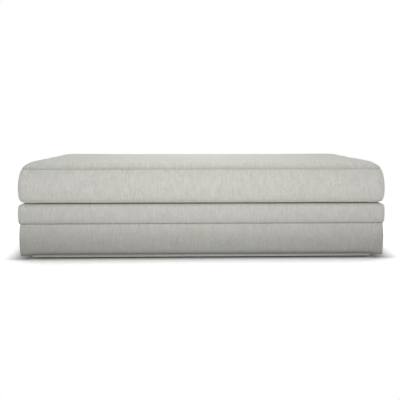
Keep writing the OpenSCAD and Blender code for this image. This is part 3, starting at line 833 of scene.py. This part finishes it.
# The other cloths: sizes of threads, dots and clouds, waves in radians a metre, and what a weave changes
LINING_THREAD, LINING_CLOUD, LINING_HEIGHT = 0.0012, 0.05, 0.5
DUST_DOT, DUST_CLOUD = 0.003, 0.02
WEBBING_WAVE, HESSIAN_WAVE, WEBBING_TONE, HESSIAN_TONE = 1800.0, 1570.0, 0.4, 0.3
TAPE_WAVE, COIL_TURN, FOAM_CELLS = 5000.0, 0.0015, 900.0
FULL_TURN, WAVE_RANGE, WOVEN_RANGE = 2 * math.pi, (-1.0, 1.0), (0.1, 0.9)

# Timber: scales of the grain in X, Y and Z, low along the grain, what it changes, and light and dark colours
LENGTHWISE, CROSSWISE, UPRIGHT = (9, 60, 60), (60, 9, 60), (50, 50, 10)
PORE_SCALE, RING_LINES = (6, 6, 6), 46.0
LINE_TONE, PORE_TONE, LINE_HEIGHT = 0.6, 1.4, 0.4
PINE = (rgb(222, 190, 142), rgb(190, 150, 100))
OAK = (rgb(206, 174, 128), rgb(170, 132, 88))

# What is left of a metal's colour where it is dullest
DULL_SHARE = 0.82


def upholstery_cloth(name, dark, light):
    """Pale cloth of plain-woven threads that turn thicker and thinner, in clusters, with painted shade mixed
    into its colour where the pieces ask for it.
    """
    f = Finish(name, Roughness=0.9, Sheen_Weight=0.12, Sheen_Roughness=0.5, Specular_IOR_Level=0.25)
    u, v = f.cloth_place()
    warp_number, weft_number = f.maths("FLOOR", u / THREAD), f.maths("FLOOR", v / THREAD)
    warp = f.flecks(warp_number * THREAD_STEP, v / WARP_SLUB)
    weft = f.flecks(u / WEFT_SLUB, weft_number * THREAD_STEP, WEFT_SEED)
    group = f.flecks(u / GROUP[0], v / GROUP[1], GROUP_SEED)
    patch = f.flecks(u / PATCH[0], v / PATCH[1], PATCH_SEED, detail=2.0)
    cluster = f.flecks(u / CLUSTER[0], v / CLUSTER[1], CLUSTER_SEED)
    warp_round = f.maths("SINE", f.maths("FRACT", u / THREAD) * math.pi)
    weft_round = f.maths("SINE", f.maths("FRACT", v / THREAD) * math.pi)
    over = f.maths("MODULO", abs(warp_number + weft_number), 2.0)
    on_top = warp_round * over + weft_round * (1 - over)
    warp_slub = (warp - NOISE_MIDDLE) * (over * WARP_ON_TOP_TONE + WARP_TONE)
    weft_slub = (weft - NOISE_MIDDLE) * ((1 - over) * WEFT_TONE)
    clustered = (warp_slub + weft_slub) * f.between(cluster, *CLUSTER_RANGE, *CLUSTER_TONES)
    streak = clustered + (group - NOISE_MIDDLE) * GROUP_TONE
    tone = streak + (patch - NOISE_MIDDLE) * PATCH_TONE + (on_top - THREAD_MIDDLE) * THREAD_TONE
    plain = f.mix(f.between(tone, *TONE_RANGE), dark, light)
    # Painted shade: the colour darkens towards dark grey by the shade that each piece writes at its creases,
    # lower edges and overhung parts
    painted_shade = f.node("Attribute", output="Fac", attribute_name="painted_shade")
    f.colour(f.mix(painted_shade * CREASE_SHADE, plain, PAINTED_SHADE_COLOUR))
    f.rough(warp, at_low=0.95, at_high=0.82)
    f.bump(on_top + streak * STREAK_HEIGHT, distance=THREAD / 2, strength=0.4)
    return f.material


def lining_cloth():
    """Smooth pale deck lining with a plain weave."""
    f = Finish("deck_lining_cloth", Roughness=0.88, Sheen_Weight=0.05)
    u, v = f.cloth_place()
    thread = f.weave(u, v, FULL_TURN / LINING_THREAD)
    cloud = f.flecks(u / LINING_CLOUD, v / LINING_CLOUD, detail=3.0)
    f.tint(cloud, rgb(196, 194, 186), rgb(208, 206, 199))
    f.bump(thread * LINING_HEIGHT + cloud, distance=0.0003, strength=0.4)
    return f.material


def dust_fabric():
    """Thin black spun cloth with fine pressed dots."""
    f = Finish("black_dust_fabric", Roughness=0.85)
    u, v = f.cloth_place()
    dot = f.weave(u, v, FULL_TURN / DUST_DOT)
    cloud = f.flecks(u / DUST_CLOUD, v / DUST_CLOUD, detail=4.0)
    f.tint(cloud, rgb(26, 26, 27), rgb(44, 44, 45))
    f.bump(dot + cloud, distance=0.0003, strength=0.5)
    return f.material


def foam():
    """Cream foam with open cells."""
    f = Finish("cream_foam", Roughness=0.95)
    place = f.object_place()
    cells = f.node("TexVoronoi", {"Vector": place, "Scale": FOAM_CELLS})
    f.tint(f.noise(place, scale=25.0, detail=3.0), rgb(226, 214, 170), rgb(240, 231, 196))
    f.bump(cells, distance=0.0006, strength=0.6)
    return f.material


def fibre():
    """White wadding of loose fibres."""
    f = Finish("white_fibre_wadding", Roughness=0.95, Sheen_Weight=0.1)
    strands = f.noise(f.object_place(), scale=220.0, detail=6.0, roughness=0.75)
    f.tint(strands, rgb(222, 222, 219), rgb(245, 245, 243))
    f.bump(strands, distance=0.002, strength=0.6)
    return f.material


def timber(name, grain, light, dark):
    """Planed wood with its grain along one axis."""
    f = Finish(name, Roughness=0.6)
    place = f.node("Mapping", {"Vector": f.object_place(), "Scale": grain})
    lines = f.maths("SINE", f.noise(place, scale=1.0, detail=3.0, roughness=0.55) * RING_LINES)
    finer = f.node("Mapping", {"Vector": place, "Scale": PORE_SCALE})
    pores = f.noise(finer, scale=1.0, detail=4.0, roughness=0.7)
    f.tint(lines * LINE_TONE + (pores - NOISE_MIDDLE) * PORE_TONE, light, dark, WAVE_RANGE)
    f.rough(pores, at_low=0.5, at_high=0.7)
    f.bump(lines * LINE_HEIGHT + pores, distance=0.0004, strength=0.35)
    return f.material


def webbing():
    """Tan webbing with a coarse herringbone."""
    f = Finish("tan_webbing", Roughness=0.8)
    place = f.object_place()
    x, y = f.apart(place)
    weave = f.weave(x + y, x - y, WEBBING_WAVE)
    cloud = f.noise(place, scale=60.0, detail=3.0)
    f.tint(weave * WEBBING_TONE + cloud, rgb(150, 120, 84), rgb(196, 168, 126), WOVEN_RANGE)
    f.bump(weave, distance=0.0006, strength=0.6)
    return f.material


def hessian():
    """Brown hessian with an open plain weave."""
    f = Finish("brown_hessian", Roughness=0.9)
    place = f.object_place()
    weave = f.weave(*f.apart(place), HESSIAN_WAVE)
    cloud = f.noise(place, scale=40.0, detail=4.0)
    f.tint(weave * HESSIAN_TONE + cloud, rgb(132, 104, 70), rgb(178, 148, 104), WOVEN_RANGE)
    f.bump(weave, distance=0.0006, strength=0.7)
    return f.material


def nylon():
    """Dark grey moulded nylon."""
    f = Finish("dark_nylon", Roughness=0.45)
    grain = f.noise(f.object_place(), scale=700.0, detail=3.0)
    f.colour(f.mix(grain, rgb(44, 44, 46), rgb(60, 60, 62)))
    f.bump(grain, distance=0.0001, strength=0.3)
    return f.material


def metal(name, colour, smoothest, roughest):
    """Plated metal with fine scratches."""
    f = Finish(name, Metallic=1.0)
    place = f.object_place()
    cloud = f.noise(place, scale=160.0, detail=4.0)
    f.colour(f.mix(cloud, colour, tuple(c * DULL_SHARE for c in colour[:3]) + (1.0,)))
    f.rough(cloud, smoothest, roughest)
    f.bump(f.noise(place, scale=1500.0), distance=0.0001, strength=0.3)
    return f.material


def zip_tape():
    """Grey woven zip tape with fine ribs."""
    f = Finish("zip_tape_cloth", Roughness=0.85)
    place = f.object_place()
    x, _ = f.apart(place)
    f.tint(f.noise(place, scale=90.0, detail=3.0), rgb(168, 167, 160), rgb(186, 185, 179))
    f.bump(f.maths("SINE", x * TAPE_WAVE), distance=0.0002, strength=0.5)
    return f.material


def zip_coil():
    """Grey polyester coil with a turn every millimetre and a half."""
    f = Finish("zip_coil_polyester", Roughness=0.4)
    x, _ = f.apart(f.object_place())
    turn = f.maths("SINE", x * (FULL_TURN / COIL_TURN))
    f.tint(turn, rgb(120, 119, 114), rgb(176, 175, 168), WAVE_RANGE)
    f.bump(turn, distance=0.0006, strength=0.8)
    return f.material


def make_pieces():
    """All pieces that this script makes itself."""
    cloth = upholstery_cloth("upholstery_cloth", dark=rgb(188, 187, 180), light=rgb(226, 225, 219))
    # The plinth's cloth is the same cloth made paler: painted light, standing in for light that its place
    # under the base's overhang doesn't get
    plinth_cloth = upholstery_cloth("plinth_cloth", dark=rgb(234, 233, 226), light=rgb(245, 244, 239))
    make_cushion(cloth)
    make_band(cloth)
    make_base(cloth)
    make_plinth_cloth(plinth_cloth)
    make_deck(lining_cloth())
    make_dust_cloth(dust_fabric())


def paint(material, *names):
    """Gives nodes of the frame a material."""
    for name in names:
        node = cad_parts[name]
        if not node.material_slots:
            node.data.materials.append(material)
        for slot in node.material_slots:
            slot.material = material


def boards(*sides):
    """The names of the boards along some sides."""
    return [f"{board}_{side}" for board in ("rail", "plinth", "bottom_board") for side in sides]


def paint_nodes():
    """Materials for all nodes that are shown as the frame has them."""
    paint(timber("softwood_lengthwise", LENGTHWISE, *PINE), *boards("front", "back"))
    paint(timber("softwood_crosswise", CROSSWISE, *PINE), *boards("left", "right"), "cross_rails")
    paint(timber("block_wood", UPRIGHT, *OAK), "plinth_blocks", "frame_corner_blocks")
    paint(foam(), "cushion_core", "deck_foam", *all_sides("base_foam"), *all_sides("band_foam"))
    paint(fibre(), "fibre_top", "fibre_bottom", "fibre_sides")
    paint(webbing(), "cross_webbing", "long_webbing")
    paint(hessian(), "hessian")
    paint(nylon(), "glides")
    zinc = metal("zinc_plated_steel", rgb(190, 192, 196), smoothest=0.27, roughest=0.45)
    paint(zinc, "plinth_screws")
    nickel = metal("zip_metal_nickel", rgb(196, 195, 192), smoothest=0.22, roughest=0.4)
    paint(nickel, "zip_slider", "zip_pull", "zip_stops")
    paint(zip_tape(), "zip_tapes")
    paint(zip_coil(), "zip_chain")


# The camera: its film in millimetres, the photograph's pixels, and the eye's place in metres and radians
FILM_SIZE = 36.0
FOCAL_PIXELS, FRAME_PIXELS = 461.6, 400.0
HORIZON_ROW, CENTRE_COLUMN = 127.5, 202.8
EYE_HEIGHT, EYE_DISTANCE, EYE_TURN = 0.637, 2.2, 0.02

# The floor: its reach past the bench, what it bounces, and the level that the camera sees, with a painted
# shadow under the overhang, close to the plinth and beside the ends
FLOOR_REACH, FLOOR_SIDE = 0.18, 0.9
BOUNCE_NEAR, BOUNCE_FAR, BOUNCE_FADE = 0.8, 0.12, (0.02, 0.09)
FLOOR_SEEN, UNDER_SHARE, CLOSE_SHARE = 1.78, 0.2, 0.85
UNDER_FADE, CLOSE_FADE, END_OVERHANG = (-0.012, 0.028), (0.06, 0.16), 0.2
END_SHADOW, END_START, END_FADE, FRONT_FADE = 0.36, (-0.01, 0.02), (0.03, 0.2), (0.0, 0.05)

# The light: levels of the sky between its steps of height, and softboxes by name, place, size and power
SKY_STEPS, SKY_SOFTNESS = (-0.4, 0.0, 0.35), 0.05
SKY_LEVELS = (1.61, 0.23, 0.0, 0.65)
WHITE = (1, 1, 1, 1)
SOFTBOX_AIM = Vector((0, 0, 0.25))
SOFTBOXES = (
    ("front_softbox", (0.05, -2.3, 0.85), 1.0, 18.5),
    ("top_softbox", (0.0, 0.25, 1.5), 0.9, 6.2),
    ("left_softbox", (-2.5, 0.25, 0.5), 0.9, 7.5),
    ("right_softbox", (2.5, 0.25, 0.5), 0.9, 7.5),
)


def make_camera():
    """A level camera in front of the bench, its frame shifted down as a shift lens does."""
    data = bpy.data.cameras.new("camera")
    data.sensor_width = FILM_SIZE
    data.lens = FILM_SIZE * FOCAL_PIXELS / FRAME_PIXELS
    data.shift_x = (FRAME_PIXELS / 2 - CENTRE_COLUMN) / FRAME_PIXELS
    data.shift_y = (HORIZON_ROW - FRAME_PIXELS / 2) / FRAME_PIXELS
    camera = bpy.data.objects.new("camera", data)
    camera.location = (-EYE_TURN * EYE_DISTANCE, frame_box[0].y - EYE_DISTANCE, EYE_HEIGHT)
    camera.rotation_euler = (math.pi / 2, 0, -EYE_TURN)
    bpy.context.scene.collection.objects.link(camera)
    bpy.context.scene.camera = camera


def white_floor():
    """White to the camera but for the shadow, partly cast by the lights and partly painted under the
    overhang, close to the plinth and beside the ends; it bounces light only close to the plinth.
    """
    f = Finish("white_floor")
    x, y = f.apart(f.object_place())
    beyond_end, in_front = abs(x) - PLINTH[1].x, abs(y) - PLINTH[1].y
    from_plinth = f.maths("MAXIMUM", beyond_end, in_front)
    overhung = f.maths("MAXIMUM", beyond_end * END_OVERHANG, in_front)
    bounce = f.between(from_plinth, *BOUNCE_FADE, BOUNCE_NEAR, BOUNCE_FAR)
    # Painted shadow: the level the camera sees drops under the base's overhang, reaching further out at the
    # ends, and stays a little lower close to the plinth
    seen = f.between(overhung, *UNDER_FADE, FLOOR_SEEN * UNDER_SHARE, FLOOR_SEEN * CLOSE_SHARE)
    seen = seen + f.between(from_plinth, *CLOSE_FADE, 0.0, FLOOR_SEEN * (1 - CLOSE_SHARE))
    # Painted shadow on the floor beside the ends, fading out towards the front
    end_shadow = f.between(beyond_end, *END_START) * f.between(beyond_end, *END_FADE, END_SHADOW, 0.0)
    seen = seen * (1 - end_shadow * f.between(in_front, *FRONT_FADE, 1.0, 0.0))
    bounced, shown = f.node("BsdfDiffuse", {"Color": bounce}), f.node("BsdfDiffuse", {"Color": seen})
    mixed = f.node("MixShader", {0: f.seen_directly(), 1: bounced, 2: shown})
    f.feed(f.nodes["Material Output"].inputs["Surface"], mixed)
    f.nodes.remove(f.shader)
    return f.material


def make_floor():
    """A small flat floor under the bench."""
    mesh = bmesh.new()
    bmesh.ops.create_grid(mesh, x_segments=1, y_segments=1, size=1)
    half_x, half_y = frame_box[1].x + FLOOR_SIDE, frame_box[1].y + FLOOR_REACH
    for v in mesh.verts:
        v.co = (v.co.x * half_x, v.co.y * half_y, GROUND)
    floor = as_piece(mesh, "floor")
    floor.data.materials.append(white_floor())


def make_sky():
    """White to the camera; soft light from all round, in bands of height that each have their level."""
    world = bpy.data.worlds.new("studio")
    bpy.context.scene.world = world
    world.use_nodes = True
    sky = Graph(world.node_tree)
    sky.nodes.clear()
    output = sky.nodes.new("ShaderNodeOutputWorld")
    height = sky.node("SeparateXYZ", {0: sky.node("TexCoord", output="Generated")}, output="Z")
    level = SKY_LEVELS[0]
    for step, below, above in zip(SKY_STEPS, SKY_LEVELS, SKY_LEVELS[1:]):
        edges = (step - SKY_SOFTNESS, step + SKY_SOFTNESS)
        level = sky.between(height, *edges, 0.0, above - below, kind="LINEAR") + level
    light = sky.node("Background", {"Color": WHITE, "Strength": level})
    white = sky.node("Background", {"Color": WHITE})
    mixed = sky.node("MixShader", {0: sky.seen_directly(), 1: light, 2: white})
    sky.feed(output.inputs["Surface"], mixed)


def add_softbox(name, place, size, power):
    """A square softbox that faces the middle of the bench."""
    data = bpy.data.lights.new(name, "AREA")
    data.size, data.energy = size, power
    lamp = bpy.data.objects.new(name, data)
    lamp.location = place
    lamp.rotation_euler = (SOFTBOX_AIM - Vector(place)).to_track_quat("-Z", "Y").to_euler()
    lamp.visible_camera = False
    bpy.context.scene.collection.objects.link(lamp)


make_pieces()
paint_nodes()
make_camera()
make_floor()
make_sky()
for softbox in SOFTBOXES:
    add_softbox(*softbox)
bpy.context.scene.view_settings.view_transform = "Standard"
